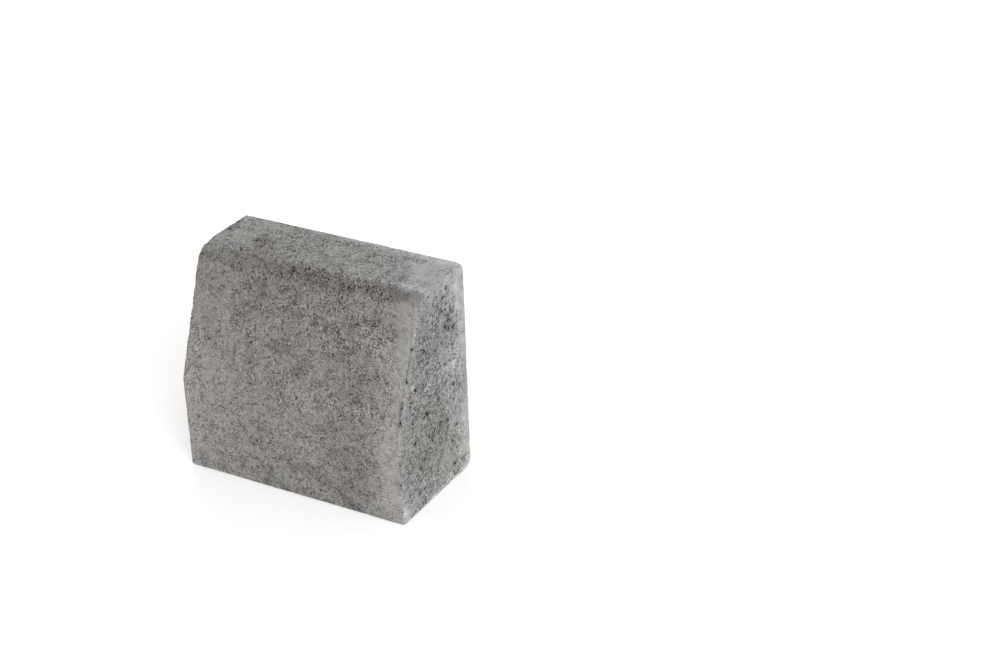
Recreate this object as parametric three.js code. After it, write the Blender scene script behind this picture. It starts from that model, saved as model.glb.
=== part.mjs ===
// Concrete kerb stone, cast in one piece: a plumb road face, a battered face above it and a
// rounded nose. Sizes are in millimetres. The stone stands on its base with the origin in the
// middle of it: X runs along the kerb line, -Y faces the road, +Z is up.

import * as THREE from "three";

// Overall sizes of the section and the stone.
const LENGTH = 280; // along the kerb line, end to end
const HEIGHT = 250; // base to top
const BASE_WIDTH = 142; // road face to rear face
const TOP_WIDTH = 90; // rear face to where the batter would meet the top
const FACE_HEIGHT = 110; // the plumb road face, below the batter

// Roundings.
const NOSE_RADIUS = 30; // between the batter and the top
const BREAK_RADIUS = 12; // between the road face and the batter
const REAR_TOP_RADIUS = 5; // rear arris of the top
const BASE_RADIUS = 3; // both arrises of the base
const END_RADIUS = 2.5; // arrises around each end

// Facets.
const ARC_STEPS = 12; // steps in each arc of the section
const END_STEPS = 3; // steps in the rounding of each end

// A closed outline through the corners, anticlockwise, each corner rounded by its own radius.
function roundedOutline(corners) {
  const outline = new THREE.Shape();
  corners.forEach(({ point, radius }, index) => {
    const previous = corners.at(index - 1).point;
    const next = corners[(index + 1) % corners.length].point;
    const toPrevious = previous.clone().sub(point).normalize();
    const toNext = next.clone().sub(point).normalize();
    const halfAngle = Math.acos(toPrevious.dot(toNext)) / 2;
    const inward = toPrevious.clone().add(toNext).normalize();
    const centre = inward.multiplyScalar(radius / Math.sin(halfAngle)).add(point);
    const setback = radius / Math.tan(halfAngle);
    const start = toPrevious.multiplyScalar(setback).add(point).sub(centre);
    const end = toNext.multiplyScalar(setback).add(point).sub(centre);
    outline.absarc(centre.x, centre.y, radius, start.angle(), end.angle(), false);
  });
  outline.closePath();
  return outline;
}

// The kerb's section, seen along the kerb line: x is the depth away from the road, y is up.
function kerbSection() {
  const front = -BASE_WIDTH / 2;
  const rear = BASE_WIDTH / 2;
  return roundedOutline([
    { point: new THREE.Vector2(front, 0), radius: BASE_RADIUS },
    { point: new THREE.Vector2(rear, 0), radius: BASE_RADIUS },
    { point: new THREE.Vector2(rear, HEIGHT), radius: REAR_TOP_RADIUS },
    { point: new THREE.Vector2(rear - TOP_WIDTH, HEIGHT), radius: NOSE_RADIUS },
    { point: new THREE.Vector2(front, FACE_HEIGHT), radius: BREAK_RADIUS },
  ]);
}

// The section run along the stone, with its outline drawn in round both ends. The rounding of an
// end is no larger than the arrises that it meets.
function kerbGeometry() {
  const endRadius = Math.min(END_RADIUS, 0.9 * BASE_RADIUS, 0.9 * REAR_TOP_RADIUS);
  const geometry = new THREE.ExtrudeGeometry(kerbSection(), {
    depth: LENGTH - 2 * endRadius,
    steps: 1,
    curveSegments: ARC_STEPS,
    bevelEnabled: true,
    bevelThickness: endRadius,
    bevelSize: endRadius,
    bevelOffset: -endRadius,
    bevelSegments: END_STEPS,
  });
  return geometry.translate(0, 0, endRadius - LENGTH / 2);
}

const concrete = new THREE.MeshStandardMaterial({
  color: 0x8a867c,
  roughness: 0.95,
  metalness: 0,
});

const kerbStone = new THREE.Mesh(kerbGeometry(), concrete);
kerbStone.name = "kerb_stone";
// Turns the section's depth to Y, its height to Z and its run to X.
kerbStone.rotation.set(Math.PI / 2, Math.PI / 2, 0);

const kerb = new THREE.Group();
kerb.add(kerbStone);

export default kerb;
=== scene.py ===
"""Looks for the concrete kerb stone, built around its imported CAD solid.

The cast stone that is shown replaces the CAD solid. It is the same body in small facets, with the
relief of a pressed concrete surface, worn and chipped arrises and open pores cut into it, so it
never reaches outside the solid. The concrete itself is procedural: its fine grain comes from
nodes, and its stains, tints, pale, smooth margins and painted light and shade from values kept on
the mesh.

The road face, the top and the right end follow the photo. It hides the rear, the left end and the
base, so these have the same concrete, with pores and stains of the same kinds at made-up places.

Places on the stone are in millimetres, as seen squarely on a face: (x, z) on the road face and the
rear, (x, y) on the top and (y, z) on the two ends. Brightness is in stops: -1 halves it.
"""

import math

import bmesh
import bpy
import numpy as np
from mathutils import Matrix, Vector, kdtree, noise


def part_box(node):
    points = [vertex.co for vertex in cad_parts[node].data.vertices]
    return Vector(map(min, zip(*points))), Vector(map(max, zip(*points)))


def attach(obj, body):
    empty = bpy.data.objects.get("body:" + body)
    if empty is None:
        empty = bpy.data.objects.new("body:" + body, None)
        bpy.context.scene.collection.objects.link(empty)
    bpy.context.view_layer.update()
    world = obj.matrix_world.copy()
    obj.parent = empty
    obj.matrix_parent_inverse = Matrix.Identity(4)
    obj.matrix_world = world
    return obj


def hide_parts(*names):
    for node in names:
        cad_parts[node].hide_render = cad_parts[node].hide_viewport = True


MM = 0.001
SEED = 41

NODE = "kerb_stone"
PIECE = "kerb_stone_cast"

# The facets of the cast stone.
QUAD = 2.4
ARRIS_BAND = 3.5  # this near an arris the facets are halved
FINE_PORE = 0.7  # around a pore of this radius or more they are halved twice
FLAT = 1e-6  # metres, within which a facet counts as lying in the base

# The relief, all of it cut into the stone: how wide its forms are and how deep they go.
WAVES = (45.0, 0.4)
LUMPS = (6.0, 0.25)
ARRIS_WEAR = (5.0, 0.4)
WEAR_WIDTH = 3.0  # this near an arris it is worn
WEAR_LEAST = 0.2  # above 0 more than half of each arris is worn
BASE_RELIEF = 2.0  # the base has relief only this near its arrises
CHIPS = 60
CHIP_DEPTH = (0.15, 0.6)
CHIP_REACH = 5  # how far a chip's cut reaches, in depths of the chip
CHIP_TILT = 0.35  # how far its cut leans at random

# Open pores at random places on each face: count, smallest and largest radius.
PORES = {
    "road": (70, 0.7, 1.0),
    "top": (40, 0.7, 1.0),
    "end": (130, 0.7, 1.4),
    "left_end": (190, 0.7, 1.8),
    "rear": (110, 0.7, 1.1),
}
PORE_CLUSTERS = (20.0, 1.5)  # how wide the groups of pores are and how much denser
SMOOTH_GRAIN = 0.3  # random pores keep off skin with a finer grain than this
LEAST_CHANCE = 0.05  # what chance they have there

# The shape of a pore, in radii of it.
PORE_DEPTH = 1.2
PORE_ROUNDNESS = 0.7  # the power of its section: 0.5 is round, and 1 is a parabola
PORE_RAGGED = (0.8, 0.7)  # how wide the bends in its outline are and how far they go
PORE_SEARCH = 1.6  # how far off it can reach at the most
PORE_FINE = 1.1  # how far off the facets around it are halved

# A pore of at least this radius, in millimetres, has smaller ones at its side.
SIDE_PORE_FROM = 1.0
SIDE_PORES = 2
SIDE_PORE_PLACE = 1.1  # from its middle, in radii of it
SIDE_PORE_RADIUS = 0.55  # in radii of it

# A pore of at least this radius, in millimetres, has dirt around it.
HALO_FROM = 1.3
HALO_REACH = 1.8  # in radii of it
HALO_STOPS = -0.55

# The outward direction of each face and the axes of a place on it.
FACES = {
    "road": ((0, -1, 0), (0, 2)),
    "rear": ((0, 1, 0), (0, 2)),
    "top": ((0, 0, 1), (0, 1)),
    "end": ((1, 0, 0), (1, 2)),
    "left_end": ((-1, 0, 0), (1, 2)),
}

# A point belongs to a face where its normal leans this far towards it, more and more between the
# two values. The nose counts as road face, so the top starts later there.
FACE_LEAN = (0.6, 0.8)
TOP_LEAN = (0.7, 0.76)
TOP_LEAN_AT_NOSE = (0.9, 0.96)

# A point lies on an arris of an end where its normal leans between these towards the end. On one
# of the others it lies where its normal leans less than this towards every face, and within a few
# facets of the base, or of both the rear and the top.
END_ARRIS = (0.3, 0.95)
OBLIQUE = 0.9
ARRIS_FACETS = 3

# How coarse the grain is on each face, and how bright the face is. The brightness is painted light
# and shade: the ends are painted lighter and the top darker, for how the light falls on each face.
FACE_GRAIN = {"road": 1.0, "top": 1.2, "end": 1.22, "left_end": 1.25, "rear": 1.1}
PAINTED_FACE_LIGHT = {"road": 0.0, "top": -0.07, "end": 0.05, "left_end": 0.05, "rear": 0.0}

# Open pores seen in the photo, by face: the two numbers of the place, radius. The last group is on
# the right arris.
SEEN_PORES = [
    ("road", [
        (-20, 246, 1.4), (-17.5, 244, 1.3), (-19, 241, 1.2), (-24, 247, 0.8), (-2, 247.3, 1.0),
        (1, 239.5, 1.2), (22, 244.5, 1.0), (27, 243.5, 0.8), (41, 244, 0.9), (45, 243, 1.2),
        (46, 238, 0.9), (44, 233, 1.2), (48, 231, 1.0), (39, 232, 0.8), (53, 241, 1.2),
        (56, 239.5, 0.8), (75, 242.5, 1.4), (104, 242, 0.9), (101, 239, 0.8), (-80, 244.5, 1.0),
        (-124, 221.5, 1.0), (-77, 222.5, 1.0), (-50, 225, 1.1), (-30, 186, 1.1), (33, 214, 1.0),
        (12, 205.5, 0.8), (23, 200, 1.0), (54, 191.5, 1.3), (71, 209, 1.2), (80, 199, 0.8),
        (-62, 154, 1.0), (-57, 165, 1.2), (-55, 144, 1.1), (5, 144, 1.2), (-52, 123, 1.2),
        (-55, 114.5, 1.0), (9, 122, 1.0), (6, 114.5, 1.0), (75, 147.5, 0.9), (81, 119, 0.8),
        (99, 86, 0.9), (96, 59, 0.9), (-27, 71, 0.9), (-33, 84, 1.0), (35, 15, 1.2),
        (82, 5, 1.2),
    ]),
    ("top", [
        (-89.5, 18, 1.6), (-72, -1, 0.8), (-59, 58, 0.8), (-31, 60, 0.8), (22, 35, 0.8),
        (-133.5, 30, 1.7), (-136.2, 45.4, 1.4), (-136.8, 50.5, 1.3), (-129.5, 41, 1.2),
        (-92.5, -5.5, 1.2), (-77, 9, 1.2), (66, 35, 0.8),
    ]),
    ("end", [
        (34, 236, 1.8), (7, 229, 1.2), (23, 213, 1.7), (31, 212, 1.3), (26, 204, 1.2),
        (35, 203, 1.3), (35, 197, 1.6), (28, 192, 1.7), (36, 187, 1.9), (44, 185.5, 2.2),
        (53, 182, 1.1), (60, 187, 1.0), (20, 177, 1.4), (13, 188, 1.1), (5, 174, 1.0),
        (-15, 184, 1.6), (-11, 178, 1.3), (-26, 177, 0.9), (41, 166, 1.3), (25, 149, 1.8),
        (16, 151, 1.2), (3, 146, 1.3), (-36, 148, 1.7), (-21, 142, 1.5), (-52, 137, 1.0),
        (24, 127, 1.6), (40, 118, 2.0), (9, 121, 1.1), (-15, 119.5, 1.1), (-37, 115, 1.3),
        (-15.5, 109.5, 2.0), (26, 102, 1.4), (1, 101, 1.0), (-56, 101, 0.9), (-41, 86, 1.6),
        (24, 82, 1.3), (52, 82, 0.9), (5, 76, 1.0), (-6, 72, 1.3), (43, 66, 1.5), (-25, 57, 1.5),
        (-32.5, 52, 1.4), (33, 51, 1.3), (-15, 42, 1.0), (42, 38, 1.6), (-55, 30, 1.2),
        (-37, 22, 1.8), (-27, 22.5, 1.4), (-16, 22.5, 1.1), (-54, 19.5, 0.8), (36, 20, 1.6),
        (52, 17, 1.3), (17, 13, 1.0), (-39, 9.5, 1.0), (43, 7, 1.2), (-37.4, 196.8, 1.4),
        (-45, 181, 0.8), (-49.8, 163.8, 1.6), (-49, 168, 1.0), (-48, 173, 0.8),
    ]),
    ("road", [
        (138, 138, 1.2), (138.3, 123, 1.5), (138.3, 86, 0.8), (138.3, 75, 1.1), (138.3, 64, 0.8),
        (138.3, 50, 1.1), (138.3, 33, 0.8), (138.3, 17, 0.8),
    ]),
]

# Wide, shallow places where an arris is worn or broken: face, place, radius, depth.
WORN = [
    ("end", (71, 27), 6, 0.4),
    ("end", (71, 126), 4, 0.6),
    ("end", (60, 0), 7, 0.5),
    ("end", (71, 1), 6, 1.0),
    ("end", (30, 0), 5, 0.8),
    ("end", (71, 250), 6.5, 1.2),
    ("end", (-71, 4), 6, 0.4),
    ("left_end", (46, 250), 3, 0.6),
    ("left_end", (53, 250), 2.5, 0.4),
    ("left_end", (-3, 250), 9, 1.1),
    ("left_end", (-26, 233), 4, 0.4),
    ("left_end", (-36, 209), 4, 0.6),
    ("left_end", (-44, 187), 5, 0.8),
    ("left_end", (-52, 160), 9, 0.4),
    ("left_end", (-71, 70), 4, 0.4),
    ("left_end", (-71, 41), 5, 0.5),
    ("left_end", (-71, 10), 4, 0.3),
]

# Zones that are paler or darker than their face, or of another grain, each along a line of places:
# face, places, radius, stops, how much coarser the grain is. Most are pale, smooth margins, where
# the paste gathered against the mould. Along the rear arrises of the top and of the right end the
# pale strip is partly that paste and partly painted light, the glow of the white backdrop.
ZONES = [
    ("road", [(138, 240), (138, 205)], 18, 0.09, -0.55),
    ("road", [(139, 200), (138, 130), (132, 95), (131, 60), (134, 20), (134, 0)], 16, 0.09, -0.45),
    ("road", [(110, 244), (139, 244)], 6, -0.2, -0.45),
    ("road", [(113, 190), (120, 150), (120, 25)], 13, 0.11, 0.0),
    ("road", [(0, 218), (85, 208)], 32, 0.0, 0.2),
    ("road", [(-50, 94), (100, 82)], 26, -0.02, 0.05),
    ("road", [(-138, 246), (-72, 243)], 8, 0.0, -0.45),
    ("road", [(137, 110), (133, 60), (139, 0)], 18, 0.1, 0.0),
    ("road", [(-140, 100), (-140, 10)], 55, 0.19, -0.1),
    ("road", [(-140, 100), (-140, 30)], 22, 0.12, 0.0),
    ("road", [(-112, 200), (-92, 160), (-82, 118)], 24, -0.05, -0.2),
    ("top", [(140, -5), (140, 71)], 34, 0.2, -0.2),
    ("top", [(140, 40), (140, 71)], 40, 0.14, -0.4),
    ("top", [(30, 10), (90, 60)], 45, 0.15, -0.1),
    # Paler along the top's rear arris: partly smooth paste, partly painted light from the white
    # backdrop.
    ("top", [(-40, 71), (140, 71)], 10, 0.28, -0.35),
    ("top", [(-140, 66), (-50, 66)], 11, -0.03, -0.25),
    ("top", [(-140, 71), (-128, 60)], 8, 0.28, 0.0),
    ("top", [(83, 64), (102, 66)], 9, 0.25, -0.1),
    ("top", [(-108, 20), (-92, 2)], 11, 0.15, 0.0),
    ("top", [(-122, 5), (-112, 45), (-85, 50)], 18, 0.14, -0.2),
    ("top", [(119, -6), (139, -2)], 8, 0.28, -0.3),
    # Paler along this end's rear arris: partly smooth paste, partly painted light from the white
    # backdrop.
    ("end", [(71, 0), (71, 250)], 17, 0.33, -0.45),
    ("end", [(60, 0), (60, 250)], 28, 0.04, 0.0),
    ("end", [(71, 0), (71, 250)], 7, 0.08, -0.3),
    ("end", [(8, 250), (71, 250)], 14, 0.28, -0.3),
    ("end", [(71, 40), (71, 75)], 26, 0.1, -0.2),
    ("end", [(-70, 0), (-66, 8)], 10, 0.5, -0.4),
    ("end", [(-10, 0), (71, 0)], 6, 0.5, -0.2),
    ("end", [(-60, 0), (0, 0)], 5, 0.3, -0.2),
    ("end", [(-60, 5), (71, 5)], 25, 0.2, 0.0),
    ("end", [(58, 25), (71, 5)], 12, 0.05, 0.0),
    ("end", [(-71, 20), (-71, 100)], 9, 0.15, -0.35),
    ("end", [(-60, 120), (-52, 78)], 12, 0.0, -0.25),
    ("end", [(-71, 110), (-50, 165)], 7, 0.05, -0.35),
    ("end", [(20, 140), (36, 108), (36, 84)], 13, 0.07, -0.1),
    ("end", [(45, 235), (38, 150)], 16, 0.14, 0.0),
    ("end", [(44, 138), (40, 62)], 15, 0.12, -0.1),
    ("end", [(-5, 8), (30, 30)], 18, 0.06, -0.15),
    ("end", [(5, 240), (60, 235)], 12, 0.0, -0.35),
    ("end", [(48, 225), (66, 205)], 9, 0.15, -0.3),
    ("end", [(-5, 45), (25, 42)], 12, 0.0, -0.3),
    ("end", [(-55, 30), (-45, 12)], 10, 0.0, -0.3),
    ("end", [(-46, 178), (-34, 200)], 8, -0.14, -0.3),
    ("end", [(-22, 205), (-14, 235)], 9, -0.12, -0.1),
    ("end", [(-40, 175), (-28, 166)], 7, 0.0, -0.2),
    ("left_end", [(71, 0), (71, 250)], 17, 0.4, -0.5),
    ("left_end", [(-71, 0), (-71, 110)], 10, 0.2, -0.3),
    ("left_end", [(-60, 0), (71, 0)], 5, 0.25, -0.2),
    ("rear", [(-140, 0), (-140, 250)], 18, 0.25, -0.4),
    ("rear", [(140, 0), (140, 250)], 22, 0.3, -0.5),
    ("rear", [(-140, 250), (140, 250)], 8, 0.2, -0.2),
]

# Long stains, each along a line of places: face, places, radius, stops.
LONG_STAINS = [
    ("road", [(-100, 222), (105, 222)], 30, -0.24),
    ("road", [(-58, 192), (-55, 228), (12, 230)], 12, -0.14),
    ("road", [(0, 246), (35, 246)], 9, -0.1),
    ("road", [(90, 245), (115, 245)], 8, -0.12),
    ("road", [(-10, 168), (90, 158)], 36, -0.25),
    ("road", [(76, 98), (80, 30)], 25, -0.2),
    ("road", [(-4, 38), (12, 38), (23, 40), (29, 34), (38, 25), (50, 23)], 5, -0.45),
    ("road", [(59, 19), (66, 14), (82, 5)], 5, -0.6),
    ("road", [(-28, 26), (-34, 15), (-36, 5)], 5, -0.5),
    ("road", [(137, 128), (137.5, 160)], 1.1, -0.5),
    ("road", [(138.6, 165), (138, 171), (138.9, 182), (139.3, 195)], 1.2, -1.05),
    ("road", [(138.5, 197), (137, 216), (136, 226)], 1.1, -0.55),
    ("end", [(-28, 229), (-34.5, 200)], 1.4, 0.35),
    ("road", [(-135, 246), (-75, 243)], 9, 0.12),
    ("road", [(138, 133), (137.6, 144)], 1.6, -0.9),
    ("road", [(138.6, 120), (138.3, 126)], 1.7, -1.1),
    ("road", [(138.3, 70), (138.3, 80)], 1.4, -0.8),
    ("road", [(138.3, 61), (138.3, 67)], 1.4, -0.6),
    ("road", [(138.3, 45), (138.3, 52)], 1.4, -0.7),
    ("road", [(127, 246), (139, 243)], 6, 0.15),
    ("road", [(-101, 28), (-96, 20), (-92, 10)], 4, -0.3),
    ("road", [(-50, 226), (-50, 213)], 5, -0.5),
    ("road", [(-20, 204), (-6, 202)], 6, -0.4),
    ("road", [(-25, 166), (-10, 168)], 6, -0.4),
    ("road", [(22, 236), (42, 233), (45, 240)], 4.5, -0.5),
    ("road", [(-102, 86), (-106, 76)], 2.5, -0.25),
    ("top", [(-88, 28), (-88, 18), (-80, 21)], 6, -0.6),
    ("top", [(-78, 8), (-71, -2)], 7, -0.15),
    ("top", [(0, -1), (35, 0)], 8, -0.23),
    ("end", [(-55, 45), (-15, 40)], 25, -0.1),
    ("end", [(-26, 164), (2, 164), (6, 205)], 12, -0.2),
    ("end", [(0, 102), (-22, 80)], 9, -0.18),
    ("end", [(64, 126), (60, 92)], 7, -0.2),
    ("end", [(34, 199), (29, 193), (44, 186)], 6, -0.4),
    ("end", [(-26, 146), (-24, 136)], 5, -0.5),
    ("end", [(9, 84), (20, 80)], 8, -0.35),
    ("end", [(39, 141), (51, 142), (43, 151)], 6, 0.35),
    ("end", [(-33, 55), (-20, 57)], 6, -0.4),
    ("end", [(-58, 138), (-42, 125)], 8, 0.22),
    ("rear", [(-85, 70), (25, 95)], 38, -0.17),
    ("rear", [(15, 205), (95, 190)], 24, -0.15),
    ("rear", [(60, 35), (90, 75)], 18, 0.12),
    ("rear", [(-95, 195), (-60, 180)], 16, 0.1),
    ("left_end", [(-30, 70), (20, 100)], 26, -0.14),
    ("left_end", [(0, 190), (25, 215)], 16, -0.12),
]

# Round stains, by face, with one painted highlight: the two numbers of the place, radius, stops.
STAINS_AND_HIGHLIGHT = [
    ("road", [
        (-19, 244, 5, -0.5), (0, 244, 5, -0.25), (75, 242, 4, -0.1), (104, 242, 7, -0.19),
        (-79, 244, 5, -0.4), (-76, 189, 8, -0.52), (-13, 186, 4, -0.45), (38, 192, 4, -0.33),
        (20, 199, 6, -0.52), (58, 171, 8, -0.36), (95, 213, 5, -0.39), (-59, 164, 6, -0.72),
        (-58, 147, 8, -0.59), (6, 150, 8, -0.65), (44, 153, 5, -0.45), (85, 158, 5, -0.45),
        (71, 140, 13, -0.26), (-35, 141, 4, -0.2), (51, 102, 7, -0.45), (-37, 74, 7, -0.3),
        (-60, 66, 7, -0.15), (-52, 52, 5, -0.39), (72, 65, 12, -0.2), (-12, 4, 5, -0.78),
        (-121, 9, 7, -0.45), (-106, 63, 5, -0.39), (28, 226, 8, 0.2), (-98, 186, 9, 0.12),
        (-92, 206, 9, 0.23), (110, 34, 10, 0.2), (-120, 100, 14, 0.05), (5, 184, 16, 0.13),
        (130, 195, 9, -0.28), (80, 236, 8, 0.12), (27, 113, 9, 0.27), (-72, 112, 10, 0.06),
        (64, 203, 11, -0.26), (-10, 228, 9, -0.2), (-121, 129, 7, -0.36), (-23, 118, 5, -0.15),
        (83, 136, 5, -0.39), (33, 213, 4, -0.45), (71, 209, 4, -0.39), (-24, 193, 6, 0.26),
        (48, 125, 5, 0.29), (70, 35, 6, -0.45), (113, 163, 5, -0.25),
    ]),
    ("top", [
        (-134, 30, 5, -0.3), (45, 36, 8, -0.2), (66, 34, 8, -0.15), (84, 41, 10, 0.18),
        (58, 44, 10, 0.12), (-133, 24, 8, -0.2), (8, 20, 9, -0.13), (8, 59, 8, 0.4),
        (-50, 61, 8, -0.2),
    ]),
    ("end", [
        (-30, 178, 9, -0.15), (-14, 182, 6, -0.2), (21, 177, 5, -0.45), (6, 175, 5, -0.2),
        (25, 149, 6, -0.25), (38, 118, 6, -0.3), (-15, 109, 6, -0.3), (-60, 78, 7, -0.2),
        (-55, 60, 6, 0.2), (-33, 22, 8, -0.2), (37, 19, 6, -0.25), (-7, 75, 6, -0.5),
        (13, 192, 6, -0.3), (20, 221, 10, 0.3), (-17, 212, 9, -0.1), (54, 43, 14, 0.32),
        (34, 235, 4, -0.4), (-40, 86, 4, -0.35), (42, 10, 5, -0.2), (-32, 100, 6, -0.35),
        (-61, 110, 12, 0.04), (19, 152, 13, 0.15), (-37.8, 196.8, 1.6, -1.8),
        # (-40, 152) is a painted highlight, the lit lower face of a chip.
        (-50, 163.8, 1.8, -1.2), (-40, 152, 3, 1.0), (-30, 206, 5, 0.35), (1, 231, 4, 0.35),
        (26, 94, 4, 0.35), (30, 7, 6, 0.75), (19, 20, 8, -0.2),
    ]),
]

# Where the grey turns warm, olive or neutral, each along a line of places: tint, face, places,
# radius, share. The road face and the nose are warm and the other faces neutral before that.
TINTS = [
    ("olive", "top", [(-125, 0), (-114, 48)], 18, 0.5),
    ("olive", "top", [(-60, 10), (52, 8)], 28, 1.0),
    ("olive", "top", [(-75, 48), (30, 40)], 22, 0.65),
    ("neutral", "top", [(-48, 52), (-38, 60)], 7, 0.8),
    ("warm", "top", [(-80, 10), (-66, -4)], 8, 0.9),
    ("warm", "top", [(-88, 24), (-88, 8)], 6, 0.4),
    ("warm", "top", [(-60, -6), (30, -6)], 4, 0.5),
    ("olive", "road", [(-136, 246), (-100, 246)], 7, 0.9),
    ("olive", "road", [(100, 247), (115, 243)], 6, 0.6),
    ("neutral", "road", [(120, 246), (138, 246)], 6, 0.6),
    ("neutral", "road", [(-138, 228), (-137, 212)], 5, 0.7),
    ("olive", "road", [(-137, 196), (-134, 150)], 9, 0.9),
    ("olive", "road", [(-124, 171), (-119, 148)], 6, 0.5),
    ("olive", "road", [(-137, 50), (-133, 22)], 12, 0.9),
    ("neutral", "road", [(-140, 8), (-125, 5)], 9, 0.8),
    ("olive", "road", [(-105, 4), (-70, 6)], 7, 0.7),
    ("olive", "road", [(-36, 6), (-8, 12)], 10, 0.9),
    ("olive", "road", [(36, 6), (62, 6)], 8, 0.7),
    ("neutral", "road", [(88, 8), (108, 12)], 9, 0.9),
    ("olive", "road", [(105, 12), (139, 3)], 7, 0.6),
    ("neutral", "road", [(139, 20), (139, 235)], 13, 0.4),
    ("olive", "road", [(134, 200), (134, 165)], 9, 0.9),
    ("warm", "end", [(-70, 50), (-70, 108), (-64, 130)], 5, 0.5),
    ("warm", "end", [(-30, 215), (-25, 236)], 4, 0.4),
    ("olive", "end", [(-18, 92), (-12, 60)], 34, 1.0),
    ("olive", "end", [(12, 48), (42, 25)], 25, 0.9),
    ("olive", "end", [(-62, 80), (-52, 78)], 8, 0.6),
    ("olive", "end", [(-47, 168), (-36, 190)], 9, 0.8),
    ("olive", "end", [(-46, 140), (-38, 136)], 8, 0.5),
    ("olive", "end", [(-4, 186), (6, 184), (15, 173)], 7, 0.5),
    ("olive", "rear", [(-75, 90), (15, 60)], 42, 0.9),
    ("warm", "rear", [(70, 225), (125, 150)], 32, 0.5),
    ("olive", "left_end", [(-20, 55), (20, 95)], 32, 0.9),
]
TINT_SHARES = {"warm": (1.0, 0.0), "olive": (0.0, 1.0), "neutral": (0.0, 0.0)}  # warmth, olive

# How the forms drawn on the stone are softened and bent out of true. Edges run from where a form
# is full to where it ends, in radii of it. Bends are how wide they are, in millimetres, and how far
# they go, in radii again or, on the nose, in degrees of tilt.
ZONE_EDGE = (0.7, 1.3)
ZONE_BENDS = (14.0, 0.35)
STAIN_BENDS = (5.0, 0.5)
STAIN_SHIFT = (7.0, 0.4)
LARGEST_SHIFT = 2.5  # millimetres
TINT_EDGE = (0.6, 1.4)
TINT_BENDS = (12.0, 0.4)
WORN_EDGE = (0.3, 1.3)
WORN_BENDS = (4.0, 0.4)
BAND_BENDS = (6.0, 6.0)
WARM_BENDS = (7.0, 6.0)

FINEST_GRAIN = 0.25  # the grain is nowhere finer than this

# Tilts of the surface, in degrees: 0 on the plumb road face, 20 on the batter, 90 on the top.
WARM_TO = (64.0, 80.0)  # the warm grey fades out between these

# The stamp's edge leaves a dark band along the nose, crisper near the right end. Its soft upper
# edge is also painted shade, where the nose faces the key lamp more than the top does.
BAND_FROM = (24.0, 44.0)  # the tilts between which it fades in
BAND_FROM_AT_END = (34.0, 45.0)
BAND_TO = 70.0  # the tilt where it fades out, and how far on either side
BAND_SOFT = 10.0
BAND_SOFT_AT_END = 4.0
BAND_END = (95.0, 120.0)  # it turns crisp between these, in millimetres along the stone
BAND_STOPS = -0.43
BAND_COARSER = 0.3

# Colours of the concrete, in linear light.
WARM_GREY = (0.2297, 0.2150, 0.2035)
NEUTRAL_GREY = (0.235, 0.235, 0.235)
OLIVE_GREY = (0.2345, 0.237, 0.218)
LEVEL_STOPS = 0.405  # lifts them to the photo's brightness, which the dark grain lowers

# The layers of the grain: how large their grains, voids or blotches are.
GRAIN_SIZES = {
    "speckle": 1.9,
    "grit": 4.2,
    "sand": 1.5,
    "specks": 1.6,
    "large_voids": 3.6,
    "small_voids": 2.6,
    "crack_bends": 3.4,
    "crack_breaks": 4.0,
    "pit_rims": 1.0,
    "patches": 12.0,
    "mottle": 10.0,
    "cloud": 45.0,
}

# How far each layer swings, or how bright it is, in stops.
GRAIN_STOPS = {
    "speckle": 3.7,
    "grit": 1.5,
    "sand": 0.35,
    "specks": -0.95,
    "cracks": -0.35,
    # The voids and the open pores are darkened partly as painted shade in the hollows, partly by
    # dirt.
    "large_voids": -0.8,
    "small_voids": -2.0,
    "pits": -2.6,
    "patches": -0.15,
    "mottle": 0.58,
    "cloud": 0.35,
}

# How much each layer adds to the height of the fine relief, which is bump.
GRAIN_HEIGHT = {
    "speckle": 0.15,
    "sand": 0.4,
    "large_voids": -0.8,
    "specks": -0.5,
    "small_voids": -0.8,
}

BUMP_DEPTH = 0.3
BUMP_STRENGTH = 0.7
ROUGHNESS = (0.98, 0.86)  # in the dark grain and on the pale
SPECULAR = 0.3
END_SIZE = 1.2  # how much larger the grain of both ends is
GRAIN_WANDER = (2.5, 4.0)  # how wide the bends of the ragged grain are and how far they go
GRAIN_TURN = (0.6, 0.4, 0.9)  # radians
GRAIN_SHIFT = (0.37, 0.11, 0.23)  # metres, so that two layers don't fall together
PIT_RIM = 2.4  # how ragged the rim of an open pore is

# The photo's camera.
IMAGE_WIDTH = 1000
FOCAL_PIXELS = 2087.2
SENSOR_MM = 36.0
CAMERA_PLACE = (1.1671, -1.6263, 1.2140)
CAMERA_AZIMUTH = 30.14
CAMERA_ELEVATION = 27.93
CAMERA_ROLL = -1.75

WHITE = (1.0, 1.0, 1.0)

# The floor glows in the camera's view, more and more between these distances from the stone.
FLOOR_HALF = 6.0
FLOOR_GREY = (0.8, 0.8, 0.8)
FLOOR_GLOW_FROM = (0.25, 1.2)
FLOOR_GLOW = (0.33, 0.7)

LAMP_TARGET = (0.0, 0.0, 0.125)  # the middle of the stone


# ---------------------------------------------------------------------------- places on the stone


def on_face(stone, face, place):
    """The point of the stone's surface, in metres, that is seen squarely at a place on a face."""
    outward, axes = FACES[face]
    start = Vector(outward)
    for axis, value in zip(axes, place):
        start[axis] = value * MM
    hit, point, _, _ = stone.ray_cast(start, -Vector(outward))
    if not hit:
        # A place past the outline is drawn in to the nearest point of the stone.
        point = stone.closest_point_on_mesh(nearest_of_box(stone, start))[1]
    return np.array(point)


def nearest_of_box(stone, point):
    """The point of the stone's bounding box that is nearest to a point outside it."""
    corners = np.array([corner[:] for corner in stone.bound_box])
    return Vector(np.clip(point, corners.min(axis=0), corners.max(axis=0)))


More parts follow.
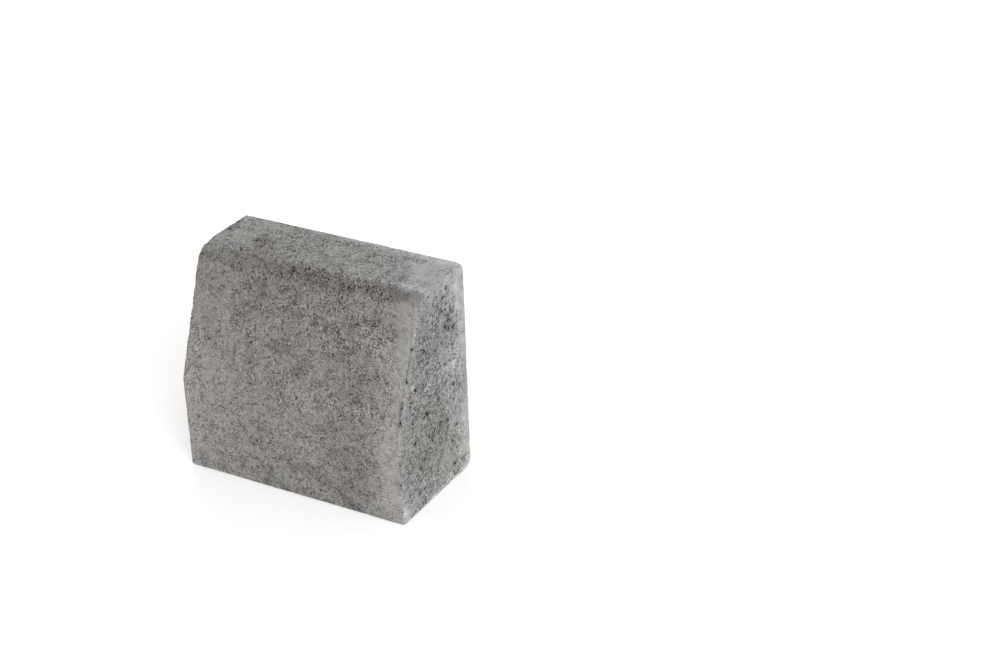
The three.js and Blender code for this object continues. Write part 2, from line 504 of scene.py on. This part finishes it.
def line_distance(stone, points, face, places):
    """The distance of each point from the line through some places on a face."""
    spots = [on_face(stone, face, place) for place in places]
    pairs = list(zip(spots[:-1], spots[1:])) or [(spots[0], spots[0])]
    return np.min([segment_distance(points, start, end) for start, end in pairs], axis=0)


def segment_distance(points, start, end):
    """The distance of each point from the straight line between two of them."""
    along = end - start
    length = float(along @ along)
    share = np.clip((points - start) @ along / length, 0, 1) if length else np.zeros(len(points))
    return np.linalg.norm(points - start - share[:, None] * along, axis=1)


def fbm(points, size, octaves, turn):
    """Soft noise from about -1 to 1 at each point, with lumps of a size in millimetres. Each turn
    gives a noise of its own."""
    shift = Vector((turn * 1.7, turn * -2.3, turn * 3.1))
    scaled = points / (size * MM)
    return np.array([noise.fractal(Vector(p) + shift, 1.0, 2.0, octaves) for p in scaled])


def bent(points, bends, turn, octaves=3):
    """A factor around 1 at each point, which bends the outline of a form drawn on the stone."""
    width, reach = bends
    return 1 + reach * fbm(points, width, octaves, turn)


def between(value, start, end):
    """An S curve from 0 at the start to 1 at the end, whichever of them is larger."""
    share = np.clip((value - start) / (end - start), 0, 1)
    return share * share * (3 - 2 * share)


def blend(first, second, share):
    """The first value at a share of 0, the second at 1, and a mix of them between."""
    return first + (second - first) * share


def inside(distance, radius, edge):
    """1 in the middle of a form and 0 outside it. Its edge is in radii of it."""
    full, gone = edge
    return between(distance / radius, gone, full)


def hill(distance, radius):
    """1 in the middle of a form, fading out softly around it."""
    return np.exp(-((distance / radius) ** 2))


def tree_of(points):
    """A search tree of some points."""
    tree = kdtree.KDTree(len(points))
    for index, point in enumerate(points):
        tree.insert(point, index)
    tree.balance()
    return tree


class Surface:
    """The surface of the stone before its relief, at the vertices of its mesh."""

    def __init__(self, mesh, low, high):
        self.points = read(mesh, "co")
        self.normals = read(mesh, "normal")
        self.share = face_shares(self.normals)
        self.tilt = np.degrees(np.arctan2(self.normals[:, 2], -self.normals[:, 1]))
        self.tree = tree_of(self.points)
        self.arris = self.find_arris(low, high)
        arris_tree = tree_of(self.points[self.arris])
        self.to_arris = np.array([arris_tree.find(point)[2] for point in self.points])

    def find_arris(self, low, high):
        """The vertices that lie on the arrises, the nose and the break left out."""
        _, y, z = self.points.T
        lean = np.abs(self.normals)
        near = ARRIS_FACETS * QUAD * MM
        end = (lean[:, 0] > END_ARRIS[0]) & (lean[:, 0] < END_ARRIS[1])
        oblique = lean.max(axis=1) < OBLIQUE
        base = oblique & (z < low[2] + near)
        rear_top = oblique & (z > high[2] - near) & (y > high[1] - near)
        return np.flatnonzero(end | base | rear_top)


def read(mesh, name):
    """A vector that the mesh has at each vertex, such as its place or its normal."""
    values = np.empty(len(mesh.vertices) * 3)
    mesh.vertices.foreach_get(name, values)
    return values.reshape(-1, 3)


def face_shares(normals):
    """How much each vertex belongs to each face, from 0 to 1."""
    x, y, z = normals.T
    shares = {
        "end": between(x, *FACE_LEAN),
        "left_end": between(-x, *FACE_LEAN),
        "rear": between(y, *FACE_LEAN),
        "base": between(-z, *FACE_LEAN),
        "top": np.where(y < 0, between(z, *TOP_LEAN_AT_NOSE), between(z, *TOP_LEAN)),
    }
    shares["road"] = np.clip(1 - sum(shares.values()), 0, 1) * (y < 0)
    return shares


# --------------------------------------------------------------------------------- brightness


def paint(stone, surface):
    """Stops of brightness, painted light and shade among them, and the coarseness of the grain at
    each vertex.
    """
    points, share = surface.points, surface.share
    # Painted light and shade by face: the ends lighter, the top darker.
    tone = sum(stops * share[face] for face, stops in PAINTED_FACE_LIGHT.items())
    grain = sum(coarse * share[face] for face, coarse in FACE_GRAIN.items())

    bends = bent(points, ZONE_BENDS, turn=1)
    for face, places, radius, stops, coarser in ZONES:
        distance = bends * line_distance(stone, points, face, places)
        zone = share[face] * inside(distance, radius * MM, ZONE_EDGE)
        tone += stops * zone
        grain += coarser * zone

    tone += stain_and_highlight_stops(stone, surface)
    # The band along the nose is partly the stamp's edge and partly painted shade.
    band = band_share(surface)
    return tone + BAND_STOPS * band, np.clip(grain + BAND_COARSER * band, FINEST_GRAIN, None)


def stain_and_highlight_stops(stone, surface):
    """The stops of brightness that the stains, and one painted highlight, add at each vertex."""
    points = surface.points
    bends = bent(points, STAIN_BENDS, turn=2)
    width, reach = STAIN_SHIFT
    shift = np.stack([fbm(points, width, 3, turn) for turn in (12, 13, 14)], axis=1)
    round_stains_and_highlight = [
        (face, [place], radius, stops)
        for face, rows in STAINS_AND_HIGHLIGHT
        for *place, radius, stops in rows
    ]
    tone = np.zeros(len(points))
    for face, places, radius, stops in LONG_STAINS + round_stains_and_highlight:
        shifted = points + min(LARGEST_SHIFT, reach * radius) * MM * shift
        distance = bends * line_distance(stone, shifted, face, places)
        tone += stops * surface.share[face] * hill(distance, radius * MM)
    return tone


def band_share(surface):
    """How much each vertex lies in the dark band on the nose, which is partly painted shade."""
    points, share = surface.points, surface.share
    width, reach = BAND_BENDS
    tilt = surface.tilt + reach * fbm(points, width, 3, turn=3)
    crisp = between(points[:, 0] / MM, *BAND_END)
    soft = blend(BAND_SOFT, BAND_SOFT_AT_END, crisp)
    first, last = (blend(a, b, crisp) for a, b in zip(BAND_FROM, BAND_FROM_AT_END))
    below_end = 1 - between(tilt, BAND_TO - soft, BAND_TO + soft)
    return (share["road"] + share["top"]) * between(tilt, first, last) * below_end


def tint_shares(stone, surface):
    """How warm and how olive the grey is at each vertex, from 0 to 1."""
    points = surface.points
    width, reach = WARM_BENDS
    tilt = surface.tilt + reach * fbm(points, width, 3, turn=15)
    warmth = (surface.share["road"] + surface.share["top"]) * (1 - between(tilt, *WARM_TO))
    olive = np.zeros(len(points))
    bends = bent(points, TINT_BENDS, turn=4)
    for tint, face, places, radius, amount in TINTS:
        distance = bends * line_distance(stone, points, face, places)
        tinted = amount * surface.share[face] * inside(distance, radius * MM, TINT_EDGE)
        warmth += tinted * (TINT_SHARES[tint][0] - warmth)
        olive += tinted * (TINT_SHARES[tint][1] - olive)
    return warmth, olive


# --------------------------------------------------------------------------------- the relief


def choose_pores(stone, surface, grain, rng):
    """The open pores, as (centre, radius) in metres. The random ones keep off the smooth parts."""
    pores = [
        (on_face(stone, face, place), radius * MM)
        for face, rows in SEEN_PORES
        for *place, radius in rows
    ]
    width, strength = PORE_CLUSTERS
    clusters = np.exp(strength * fbm(surface.points, width, 2, turn=5))
    for face, (count, smallest, largest) in PORES.items():
        chance = surface.share[face] * clusters * np.clip(grain - SMOOTH_GRAIN, LEAST_CHANCE, None)
        centres = rng.choice(len(surface.points), count, p=chance / chance.sum())
        sizes = blend(smallest, largest, rng.random(count) ** 2)
        places = surface.points[centres] + aside(surface.normals[centres], rng)
        pores += [(place, size * MM) for place, size in zip(places, sizes)]
    return pores + side_pores(pores, rng)


def aside(normals, rng):
    """Random steps along the surface, so that no pore sits squarely on a vertex."""
    steps = QUAD * MM * (rng.random(normals.shape) - 0.5)
    return steps - np.sum(steps * normals, axis=1)[:, None] * normals


def side_pores(pores, rng):
    """Smaller pores that run into each larger one, so that it isn't round."""
    added = []
    for centre, radius in pores:
        if radius >= SIDE_PORE_FROM * MM:
            for _ in range(SIDE_PORES):
                way = rng.standard_normal(3)
                place = centre + SIDE_PORE_PLACE * radius * way / np.linalg.norm(way)
                added.append((place, SIDE_PORE_RADIUS * radius))
    return added


def near_pores(tree, count, pores, least=0.0):
    """Which of the tree's points lie in or beside a pore of at least the least radius."""
    found = np.zeros(count, bool)
    for centre, radius in pores:
        if radius >= least:
            for _, index, _ in tree.find_range(centre, PORE_FINE * radius + QUAD * MM / 2):
                found[index] = True
    return found


def pore_sink(surface, pores):
    """How deep each vertex lies in a pore, in metres. Noise makes the pores ragged."""
    sink = np.zeros(len(surface.points))
    width, reach = PORE_RAGGED
    for centre, radius in pores:
        for point, index, distance in surface.tree.find_range(centre, PORE_SEARCH * radius):
            ragged = 1 + reach * noise.noise(point / (width * radius))
            depth = 1 - (distance * ragged / radius) ** 2
            if depth > 0:
                sink[index] = max(sink[index], PORE_DEPTH * radius * depth**PORE_ROUNDNESS)
    return sink


def pore_halo(surface, pores):
    """How much each vertex lies in the dirt around a pore, from 0 to 1."""
    halo = np.zeros(len(surface.points))
    for centre, radius in pores:
        if radius >= HALO_FROM * MM:
            reach = HALO_REACH * radius
            for _, index, distance in surface.tree.find_range(centre, 2 * reach):
                halo[index] = max(halo[index], hill(distance, reach))
    return halo


def worn_sink(stone, surface):
    """How deep each vertex lies in a place where an arris is worn, in metres."""
    sink = np.zeros(len(surface.points))
    bends = bent(surface.points, WORN_BENDS, turn=6, octaves=2)
    for face, place, radius, depth in WORN:
        distance = bends * line_distance(stone, surface.points, face, [place])
        sink = np.maximum(sink, depth * MM * inside(distance, radius * MM, WORN_EDGE))
    return sink


def skin_sink(surface, grain):
    """The waves and lumps of the skin and the wear of the arrises, in metres."""
    points = surface.points
    waves = WAVES[1] * fbm(points, WAVES[0], 2, turn=7)
    lumps = LUMPS[1] * fbm(points, LUMPS[0], 3, turn=8) * np.clip(grain, 0, 1)
    wear = ARRIS_WEAR[1] * (WEAR_LEAST + fbm(points, ARRIS_WEAR[0], 3, turn=9))
    wear *= between(surface.to_arris, WEAR_WIDTH * MM, 0)
    return MM * (np.clip(waves, 0, None) + np.clip(lumps, 0, None) + np.clip(wear, 0, None))


def cut_chips(surface, rng):
    """Cuts flat chips off the arrises at random places. Gives the points after the cuts."""
    points, normals = surface.points, surface.normals
    moved = points.copy()
    for index in rng.choice(surface.arris, CHIPS):
        depth = MM * blend(*CHIP_DEPTH, rng.random() ** 2)
        centre = points[index] - depth * normals[index]
        out = normals[index] + CHIP_TILT * rng.standard_normal(3)
        out /= np.linalg.norm(out)
        for _, i, _ in surface.tree.find_range(points[index], CHIP_REACH * depth):
            moved[i] -= max(float((moved[i] - centre) @ out), 0) * out
    return moved


# ------------------------------------------------------------------------------- the cast stone


def even_quads(node):
    """A new piece with the CAD solid's shape in small, even quads."""
    piece = bpy.data.objects.new(PIECE, node.data.copy())
    bpy.context.scene.collection.objects.link(piece)
    modifier = piece.modifiers.new("even_quads", "REMESH")
    modifier.mode = "VOXEL"
    modifier.voxel_size = QUAD * MM
    graph = bpy.context.evaluated_depsgraph_get()
    mesh = bpy.data.meshes.new_from_object(piece.evaluated_get(graph))
    piece.modifiers.clear()
    piece.data = mesh
    return piece


def settle(mesh, node):
    """Lays every vertex on the CAD solid, where the remesh left its slanting edges stepped."""
    points = [node.closest_point_on_mesh(vertex.co)[1] for vertex in mesh.vertices]
    mesh.vertices.foreach_set("co", np.ravel(points))
    mesh.update()


def halve(mesh, chosen):
    """Cuts the facets between the chosen vertices in half both ways."""
    bm = bmesh.new()
    bm.from_mesh(mesh)
    bm.verts.ensure_lookup_table()
    edges = [e for e in bm.edges if chosen[e.verts[0].index] and chosen[e.verts[1].index]]
    bmesh.ops.subdivide_edges(bm, edges=edges, cuts=1, use_grid_fill=True)
    bm.to_mesh(mesh)
    bm.free()


def refine(mesh, surface, pores):
    """Smaller facets along the arrises and in the pores."""
    count = len(surface.points)
    fine = (surface.to_arris < ARRIS_BAND * MM) & (surface.share["base"] < 0.5)
    halve(mesh, fine | near_pores(surface.tree, count, pores))
    points = read(mesh, "co")
    halve(mesh, near_pores(tree_of(points), len(points), pores, FINE_PORE * MM))


def simplify_base(mesh, low):
    """Turns the flat middle of the base, which has no relief, into a few large facets."""
    bm = bmesh.new()
    bm.from_mesh(mesh)
    flat = [f for f in bm.faces if all(v.co.z < low[2] + FLAT for v in f.verts)]
    bmesh.ops.dissolve_faces(bm, faces=flat)
    bmesh.ops.triangulate(bm, faces=bm.faces[:])
    # A vertex left with only two edges is the tip of two facets that lie on each other.
    tips = [v for v in bm.verts if len(v.link_edges) == 2]
    bmesh.ops.delete(bm, geom=tips, context="VERTS")
    bm.to_mesh(mesh)
    bm.free()


def keep_values(mesh, **values):
    """Keeps one value for each vertex on the mesh under each name, for the material to read."""
    for name, value in values.items():
        mesh.attributes.new(name, "FLOAT", "POINT").data.foreach_set("value", value)


def cast_stone(node):
    """The stone as cast: the CAD solid's shape with its relief, pores, worn arrises and chips."""
    rng = np.random.default_rng(SEED)
    low, high = (np.array(corner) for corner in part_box(NODE))
    piece = even_quads(node)
    mesh = piece.data

    surface = Surface(mesh, low, high)
    pores = choose_pores(node, surface, paint(node, surface)[1], rng)
    refine(mesh, surface, pores)
    settle(mesh, node)

    surface = Surface(mesh, low, high)
    tone, grain = paint(node, surface)
    tone += HALO_STOPS * pore_halo(surface, pores)
    pits = pore_sink(surface, pores)
    sink = pits + worn_sink(node, surface) + skin_sink(surface, grain)
    sink[(surface.share["base"] > 0.5) & (surface.to_arris > BASE_RELIEF * MM)] = 0
    moved = cut_chips(surface, rng) - surface.normals * sink[:, None]
    mesh.vertices.foreach_set("co", np.clip(moved, low, high).ravel())

    warmth, olive = tint_shares(node, surface)
    ends = surface.share["end"] + surface.share["left_end"]
    keep_values(mesh, tone=tone, grain=grain, warmth=warmth, olive=olive, pit=pits / MM, ends=ends)
    simplify_base(mesh, low)
    mesh.shade_smooth()
    return piece


# ----------------------------------------------------------------------------------- materials


class Nodes:
    """Adds nodes to a material or a world, each in one call that gives the node's output."""

    def __init__(self, owner, shader="Principled BSDF"):
        owner.use_nodes = True
        self.tree = owner.node_tree
        self.shader = self.tree.nodes[shader]

    def add(self, kind, output=0, settings=(), **inputs):
        """Adds a node. Each input goes by its socket's name, or by i and the socket's number."""
        made = self.tree.nodes.new(kind)
        for name, value in dict(settings).items():
            setattr(made, name, value)
        for name, value in inputs.items():
            socket = made.inputs[int(name[1:])] if name[1:].isdigit() else made.inputs[name]
            self.join(socket, value)
        return made.outputs[output]

    def join(self, socket, value):
        if isinstance(value, bpy.types.NodeSocket):
            self.tree.links.new(value, socket)
        else:
            socket.default_value = value

    def value(self, name):
        return self.add("ShaderNodeAttribute", "Fac", {"attribute_name": name})

    def math(self, operation, first, second=0.0):
        return self.add("ShaderNodeMath", settings={"operation": operation}, i0=first, i1=second)

    def times(self, first, second):
        return self.math("MULTIPLY", first, second)

    def total(self, *values):
        result = values[0]
        for value in values[1:]:
            result = self.math("ADD", result, value)
        return result

    def vector(self, operation, first, second):
        settings = {"operation": operation}
        return self.add("ShaderNodeVectorMath", settings=settings, i0=first, i1=second)

    def scaled(self, vector, scale):
        settings = {"operation": "SCALE"}
        return self.add("ShaderNodeVectorMath", settings=settings, i0=vector, Scale=scale)

    def turned(self, vector, angles):
        return self.add("ShaderNodeMapping", Vector=vector, Rotation=angles)

    def noise(self, place, size, detail=2.0, roughness=0.5, output="Fac"):
        return self.add(
            "ShaderNodeTexNoise",
            output,
            Vector=place,
            Scale=1 / (size * MM),
            Detail=detail,
            Roughness=roughness,
        )

    def swing(self, value, amount):
        """A value from 0 to 1 turned into one around 0."""
        return self.times(self.math("SUBTRACT", value, 0.5), amount)

    def darker(self, value, share):
        """The swings of a value made deeper below 0 and shallower above it by a share."""
        return self.math("SUBTRACT", value, self.times(self.math("ABSOLUTE", value), share))

    def cells(self, place, size, output):
        return self.add("ShaderNodeTexVoronoi", output, Vector=place, Scale=1 / (size * MM))

    def slope(self, value, start, end, low=0.0, high=1.0):
        """low below start, high above end, and an S curve between them."""
        settings = {"interpolation_type": "SMOOTHSTEP"}
        inputs = {"From Min": start, "From Max": end, "To Min": low, "To Max": high}
        return self.add("ShaderNodeMapRange", settings=settings, Value=value, **inputs)

    def seen(self):
        """1 where the camera sees a point, also in a reflection or through glass, and else 0."""
        ray = self.add("ShaderNodeLightPath", "Is Camera Ray").node.outputs
        indirect = self.math("MAXIMUM", ray["Is Glossy Ray"], ray["Is Transmission Ray"])
        return self.math("MAXIMUM", ray["Is Camera Ray"], indirect)

    def mix(self, share, first, second):
        settings = {"data_type": "RGBA"}
        return self.add("ShaderNodeMix", 2, settings, i0=share, i6=first, i7=second)


def opaque(colour):
    """A colour with the fourth number that a socket takes."""
    return (*colour, 1.0)


def voids(nodes, place, size, widest, share):
    """1 in the middle of voids, one in each of a share of the cells, and 0 outside them."""
    distance = nodes.cells(place, size, "Distance")
    tint = nodes.add("ShaderNodeSeparateColor", "Red", Color=nodes.cells(place, size, "Color"))
    radius = nodes.slope(tint, 1 - share, 1.0, low=0.05 * widest, high=widest)
    return nodes.slope(nodes.math("DIVIDE", distance, radius), 0.5, 1.0, low=1.0, high=0.0)


def cracks(nodes, place, ragged):
    """1 in fine winding cracks, which break off here and there, and 0 beside them."""
    bends = nodes.noise(ragged, GRAIN_SIZES["crack_bends"], detail=1.0)
    breaks = nodes.noise(place, GRAIN_SIZES["crack_breaks"], detail=1.0)
    winding = nodes.math("ABSOLUTE", nodes.swing(bends, 1.0))
    line = nodes.slope(winding, 0.02, 0.08, low=1.0, high=0.0)
    return nodes.times(line, nodes.slope(breaks, 0.5, 0.62))


def open_pores(nodes, place):
    """1 in the open pores that are cut into the mesh, up to a ragged rim, and 0 outside them."""
    rim = nodes.swing(nodes.noise(place, GRAIN_SIZES["pit_rims"], detail=1.0), PIT_RIM)
    depth = nodes.times(nodes.value("pit"), nodes.math("ADD", rim, 1.0))
    return nodes.slope(depth, 0.35, 0.75)


def grain_places(nodes):
    """The place that each point has in the grain, which is larger at the ends: true and bent."""
    scale = nodes.slope(nodes.value("ends"), 0.0, 1.0, low=1.0, high=1 / END_SIZE)
    place = nodes.scaled(nodes.add("ShaderNodeTexCoord", "Object"), scale)
    width, reach = GRAIN_WANDER
    wander = nodes.vector("SUBTRACT", nodes.noise(place, width, output="Color"), (0.5, 0.5, 0.5))
    return place, nodes.vector("ADD", place, nodes.scaled(wander, reach * MM))


def wide_layers(nodes, place, ragged):
    """The layers of the concrete whose forms are wide."""
    patches = nodes.noise(ragged, GRAIN_SIZES["patches"], roughness=0.6)
    mottle = nodes.noise(place, GRAIN_SIZES["mottle"])
    cloud = nodes.noise(place, GRAIN_SIZES["cloud"])
    return {
        "patches": nodes.slope(patches, 0.42, 0.6),
        "mottle": nodes.swing(mottle, GRAIN_STOPS["mottle"]),
        "cloud": nodes.swing(cloud, GRAIN_STOPS["cloud"]),
    }


def fine_layers(nodes, place, ragged):
    """The layers of the fine grain. They are turned, so that none lines up with the faces."""
    place = nodes.turned(place, GRAIN_TURN)
    ragged = nodes.turned(ragged, GRAIN_TURN)
    shifted = nodes.vector("ADD", ragged, GRAIN_SHIFT)
    speckle = nodes.noise(place, GRAIN_SIZES["speckle"], roughness=0.75)
    grit = nodes.noise(ragged, GRAIN_SIZES["grit"], detail=1.0)
    sand = nodes.cells(ragged, GRAIN_SIZES["sand"], "Color")
    sand = nodes.add("ShaderNodeSeparateColor", "Green", Color=sand)
    specks = nodes.noise(shifted, GRAIN_SIZES["specks"], detail=1.0)
    small = voids(nodes, shifted, GRAIN_SIZES["small_voids"], widest=0.42, share=0.36)
    pitted = nodes.slope(nodes.value("grain"), 0.75, 1.35)
    return {
        "speckle": nodes.darker(nodes.swing(speckle, GRAIN_STOPS["speckle"]), 0.3),
        "grit": nodes.darker(nodes.swing(grit, GRAIN_STOPS["grit"]), 0.3),
        "sand": nodes.swing(sand, GRAIN_STOPS["sand"]),
        "specks": nodes.slope(specks, 0.34, 0.44, low=1.0, high=0.0),
        "cracks": cracks(nodes, place, shifted),
        "large_voids": voids(nodes, ragged, GRAIN_SIZES["large_voids"], widest=0.42, share=0.4),
        "small_voids": nodes.times(small, pitted),
        "pits": open_pores(nodes, place),
    }


def weighed(nodes, layers, weights, names):
    """The total of some layers, each times its weight."""
    return nodes.total(*(nodes.times(layers[name], weights[name]) for name in names))


def fine_stops(nodes, layers):
    """The stops that the fine grain adds, deeper where it is darker than the paste."""
    gaps = weighed(nodes, layers, GRAIN_STOPS, ["specks", "cracks"])
    fine = nodes.total(
        layers["speckle"],
        layers["grit"],
        layers["sand"],
        nodes.times(gaps, nodes.value("grain")),
        # The large voids are darkened partly as painted shade in the hollows, partly by dirt.
        weighed(nodes, layers, GRAIN_STOPS, ["large_voids"]),
    )
    return nodes.darker(fine, 0.2)


def concrete():
    """Pressed concrete: sand and fine stone in grey paste, open between the grains."""
    material = bpy.data.materials.new("pressed_concrete")
    nodes = Nodes(material)
    place, ragged = grain_places(nodes)
    layers = wide_layers(nodes, place, ragged) | fine_layers(nodes, place, ragged)
    patchy = nodes.slope(layers["patches"], 0.0, 1.0, low=0.65, high=1.25)
    coarse = nodes.times(nodes.value("grain"), patchy)
    fine = fine_stops(nodes, layers)
    # The open pores and small voids are darkened partly as painted shade in the hollows, partly by
    # dirt.
    stops = nodes.total(
        nodes.times(fine, coarse),
        weighed(nodes, layers, GRAIN_STOPS, ["pits", "small_voids", "patches"]),
        layers["mottle"],
        layers["cloud"],
        nodes.value("tone"),
        LEVEL_STOPS,
    )
    grey = nodes.mix(nodes.value("olive"), opaque(NEUTRAL_GREY), opaque(OLIVE_GREY))
    grey = nodes.mix(nodes.value("warmth"), grey, opaque(WARM_GREY))
    colour = nodes.scaled(grey, nodes.math("POWER", 2.0, stops))
    height = nodes.times(weighed(nodes, layers, GRAIN_HEIGHT, GRAIN_HEIGHT), coarse)
    bump = {"Height": height, "Strength": BUMP_STRENGTH, "Distance": BUMP_DEPTH * MM}
    rough, smoother = ROUGHNESS

    nodes.join(nodes.shader.inputs["Base Color"], colour)
    nodes.join(nodes.shader.inputs["Normal"], nodes.add("ShaderNodeBump", **bump))
    nodes.join(nodes.shader.inputs["Roughness"], nodes.slope(fine, -0.8, 0.8, rough, smoother))
    nodes.shader.inputs["Specular IOR Level"].default_value = SPECULAR
    return material


# ------------------------------------------------------------------------ camera, light, floor


def add_camera():
    """The camera of the photo, solved on the outline of the stone."""
    data = bpy.data.cameras.new("camera")
    data.sensor_width = SENSOR_MM
    data.lens = FOCAL_PIXELS * SENSOR_MM / IMAGE_WIDTH
    camera = bpy.data.objects.new("camera", data)
    turn = (
        Matrix.Rotation(math.radians(CAMERA_AZIMUTH), 4, "Z")
        @ Matrix.Rotation(math.radians(90 - CAMERA_ELEVATION), 4, "X")
        @ Matrix.Rotation(math.radians(CAMERA_ROLL), 4, "Z")
    )
    camera.matrix_world = Matrix.Translation(CAMERA_PLACE) @ turn
    bpy.context.scene.collection.objects.link(camera)
    bpy.context.scene.camera = camera


def add_lamp(name, azimuth, elevation, distance, size, watts):
    """A square lamp that looks at the middle of the stone. Azimuth 0 is in front of the stone, and
    90 on its right."""
    data = bpy.data.lights.new(name, "AREA")
    data.size = size
    data.energy = watts
    lamp = bpy.data.objects.new(name, data)
    a, e = math.radians(azimuth), math.radians(elevation)
    outward = Vector((math.sin(a) * math.cos(e), -math.cos(a) * math.cos(e), math.sin(e)))
    lamp.location = outward * distance + Vector(LAMP_TARGET)
    lamp.rotation_euler = outward.to_track_quat("Z", "Y").to_euler()
    bpy.context.scene.collection.objects.link(lamp)


def add_world(strength):
    """An even grey light from all sides, white where the camera looks past everything."""
    world = bpy.data.worlds.new("studio")
    bpy.context.scene.world = world
    nodes = Nodes(world, "Background")
    level = nodes.slope(nodes.seen(), 0.0, 1.0, strength, 1.0)
    nodes.join(nodes.shader.inputs["Strength"], level)
    nodes.shader.inputs["Color"].default_value = opaque(WHITE)


def add_floor():
    """A pale floor. The camera sees it a little brighter, and white away from the stone."""
    half = FLOOR_HALF
    mesh = bpy.data.meshes.new("floor")
    corners = [(-half, -half, 0), (half, -half, 0), (half, half, 0), (-half, half, 0)]
    mesh.from_pydata(corners, [], [(0, 1, 2, 3)])
    floor = bpy.data.objects.new("floor", mesh)
    bpy.context.scene.collection.objects.link(floor)
    material = bpy.data.materials.new("pale_floor")
    nodes = Nodes(material)
    away = nodes.vector("LENGTH", nodes.add("ShaderNodeTexCoord", "Object"), (0, 0, 0))
    distance = away.node.outputs["Value"]
    glow = nodes.slope(distance, *FLOOR_GLOW_FROM, *FLOOR_GLOW)
    nodes.join(nodes.shader.inputs["Emission Strength"], nodes.times(nodes.seen(), glow))
    nodes.shader.inputs["Emission Color"].default_value = opaque(WHITE)
    nodes.shader.inputs["Base Color"].default_value = opaque(FLOOR_GREY)
    nodes.shader.inputs["Roughness"].default_value = 1.0
    nodes.shader.inputs["Specular IOR Level"].default_value = 0.0
    mesh.materials.append(material)


# ------------------------------------------------------------------------------------ the scene

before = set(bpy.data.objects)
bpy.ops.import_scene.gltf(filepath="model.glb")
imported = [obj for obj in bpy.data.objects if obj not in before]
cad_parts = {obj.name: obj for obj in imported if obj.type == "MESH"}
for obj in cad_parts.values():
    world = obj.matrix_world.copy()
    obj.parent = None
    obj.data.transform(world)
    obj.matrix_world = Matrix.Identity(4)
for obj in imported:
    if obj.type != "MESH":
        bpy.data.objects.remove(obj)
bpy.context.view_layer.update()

stone = cast_stone(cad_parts[NODE])
stone.data.materials.clear()
stone.data.materials.append(concrete())
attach(stone, "root")
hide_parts(NODE)

add_camera()
add_floor()
add_world(strength=0.6)
add_lamp("key", azimuth=48, elevation=29, distance=2.4, size=1.2, watts=36)
add_lamp("fill", azimuth=215, elevation=30, distance=2.4, size=1.5, watts=14)
bpy.context.scene.view_settings.view_transform = "Standard"
